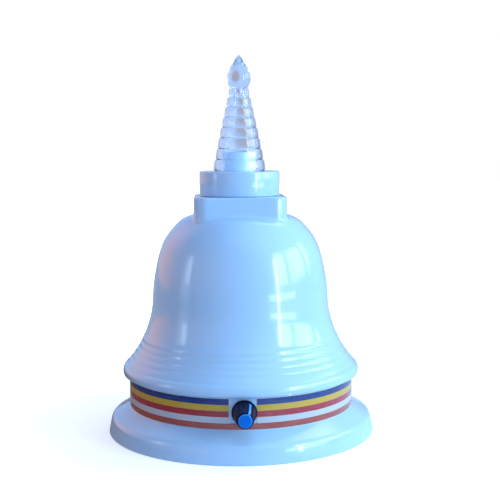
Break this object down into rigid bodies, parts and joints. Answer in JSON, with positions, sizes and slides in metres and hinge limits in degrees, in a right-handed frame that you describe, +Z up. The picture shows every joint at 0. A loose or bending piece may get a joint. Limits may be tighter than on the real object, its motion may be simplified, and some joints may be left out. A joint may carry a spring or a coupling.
{
  "type": "illuminated table-top stupa model",
  "caption": "Moulded plastic stupa lamp: bell dome on a spreading foot with a striped tape, square and round blocks, clear ringed spire and drop, and a turning control knob.",
  "frame": {"origin": "centre of the flat base, on the surface that the model stands on", "axes": "+Z up along the axis of the bell, towards the tip; -Y out of the front, where the knob is"},
  "size_m": [0.1698, 0.1776, 0.2381],
  "materials": {
    "white_plastic": null,
    "plate_plastic": "fine matt moulding",
    "clear_plastic": "clear moulded acrylic",
    "black_plastic": "satin black moulding",
    "blue_plastic": "satin blue moulding",
    "black_rubber": "matt",
    "zinc_steel": "zinc plated",
    "tape_blue": "glossy adhesive tape",
    "tape_yellow": "glossy adhesive tape",
    "tape_red": "glossy adhesive tape",
    "tape_white": "glossy adhesive tape",
    "tape_orange": "glossy adhesive tape"
  },
  "bodies": {
    "root": {"base_shell": "white_plastic", "base_plate": "plate_plastic", "base_screw_1": "zinc_steel", "base_screw_2": "zinc_steel", "base_screw_3": "zinc_steel", "base_screw_4": "zinc_steel", "cord_inlet": "black_rubber", "bell_dome": "white_plastic", "square_block": "white_plastic", "round_block": "white_plastic", "ringed_spire": "clear_plastic", "drop_finial": "clear_plastic", "tape_blue": "tape_blue", "tape_yellow": "tape_yellow", "tape_red": "tape_red", "tape_white": "tape_white", "tape_orange": "tape_orange", "control_body": "zinc_steel", "control_washer": "zinc_steel", "control_nut": "zinc_steel"},
    "knob": {"control_shaft": "zinc_steel", "knob_body": "black_plastic", "knob_cap": "blue_plastic"}
  },
  "joints": [
    {"name": "knob_turn", "type": "hinge", "parent": "root", "child": "knob", "pos_m": [0, -0.0712, 0.0279], "axis": [0, 1, 0], "range_deg": [-178, 122]}
  ]
}
